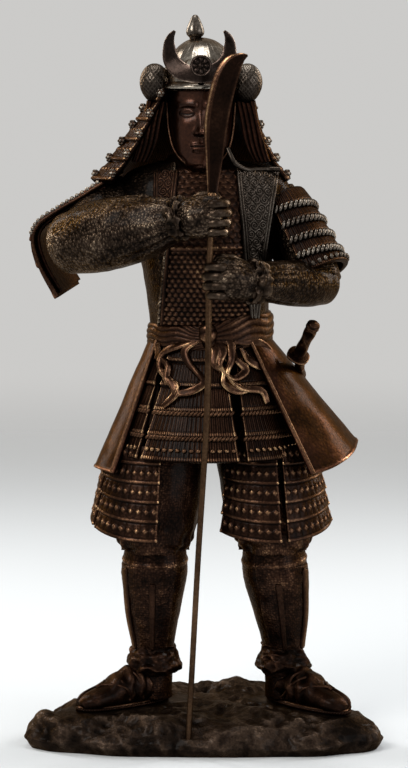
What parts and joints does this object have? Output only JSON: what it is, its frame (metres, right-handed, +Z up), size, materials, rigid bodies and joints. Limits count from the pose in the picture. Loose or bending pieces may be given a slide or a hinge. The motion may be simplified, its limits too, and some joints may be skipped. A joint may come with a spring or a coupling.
{
  "type": "bronze warrior statue",
  "caption": "Standing bronze warrior in lamellar armour and crested helmet, holding an upright glaive in both hands, on a rocky base.",
  "frame": {"origin": "middle of the whole object's footprint, at the underside of the base", "axes": "+Z up, the warrior faces -Y, +X is the warrior's left-hand side"},
  "size_m": [0.374, 0.2705, 0.758],
  "materials": {
    "base_bronze": "dark brown patinated cast bronze",
    "body_bronze": "dark brown patinated cast bronze, rubbed lighter on its high places",
    "face_bronze": "polished red-brown bronze",
    "helmet_bronze": "polished grey-brown bronze",
    "rod_bronze": "rubbed golden-brown bronze rod",
    "fixing_steel": "plain steel"
  },
  "bodies": {
    "root": {"base": "base_bronze", "figure_body": "body_bronze", "head": "face_bronze", "helmet": "helmet_bronze", "helmet_crest": "face_bronze", "right_arm": "body_bronze", "left_arm": "body_bronze", "right_shoulder_guard": "body_bronze", "left_shoulder_guard": "body_bronze", "glaive_shaft": "rod_bronze", "glaive_blade": "helmet_bronze", "sword": "body_bronze", "fixing_screw_right": "fixing_steel", "fixing_screw_left": "fixing_steel", "washer_right": "fixing_steel", "washer_left": "fixing_steel"}
  },
  "joints": []
}
